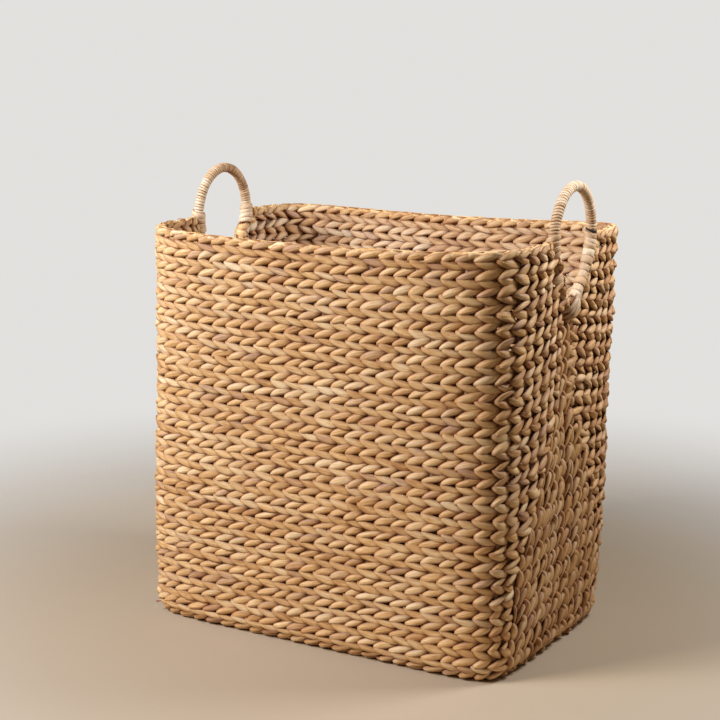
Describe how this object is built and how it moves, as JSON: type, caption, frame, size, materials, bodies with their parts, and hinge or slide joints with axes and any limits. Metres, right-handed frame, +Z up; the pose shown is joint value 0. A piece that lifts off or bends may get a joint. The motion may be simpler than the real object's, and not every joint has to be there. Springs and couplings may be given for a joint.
{
  "type": "laundry basket",
  "caption": "Tall rectangular laundry basket of twined plant leaf, open at the top, with rounded corners, a rope-like rim and a stiff wrapped hoop handle in a notch at each end.",
  "frame": {"origin": "middle of the foot, on the floor", "axes": "+Z up, +X along the width with a handle at each end, -Y out of the front"},
  "size_m": [0.5954, 0.4104, 0.641],
  "materials": {
    "straw": "dry, fibrous leaf with a soft satin skin, golden with paler and browner strands",
    "inner_straw": "the same leaf, a little browner inside",
    "peel": "tightly wound pale peel, satin",
    "cane": "bare split cane",
    "iron": "dark iron rod, hidden",
    "thread": "black twine"
  },
  "bodies": {
    "root": {"base_weave_under": "straw", "base_weave_top": "inner_straw", "stake_cage": "cane", "weft_outer_01": "straw", "weft_inner_01": "inner_straw", "weft_outer_02": "straw", "weft_inner_02": "inner_straw", "weft_outer_03": "straw", "weft_inner_03": "inner_straw", "weft_outer_04": "straw", "weft_inner_04": "inner_straw", "weft_outer_05": "straw", "weft_inner_05": "inner_straw", "weft_outer_06": "straw", "weft_inner_06": "inner_straw", "weft_outer_07": "straw", "weft_inner_07": "inner_straw", "weft_outer_08": "straw", "weft_inner_08": "inner_straw", "weft_outer_09": "straw", "weft_inner_09": "inner_straw", "weft_outer_10": "straw", "weft_inner_10": "inner_straw", "weft_outer_11": "straw", "weft_inner_11": "inner_straw", "weft_outer_12_front": "straw", "weft_outer_12_back": "straw", "weft_inner_12_front": "inner_straw", "weft_inner_12_back": "inner_straw", "rim_border_front": "straw", "rim_border_back": "straw", "rim_rod_front": "iron", "rim_rod_back": "iron", "handle_right_core": "iron", "handle_right_wrap": "peel", "handle_right_collar_front": "peel", "handle_right_collar_back": "peel", "handle_right_lashing": "peel", "handle_left_core": "iron", "handle_left_wrap": "peel", "handle_left_collar_front": "peel", "handle_left_collar_back": "peel", "handle_left_lashing": "peel", "thread_tie": "thread"}
  },
  "joints": []
}
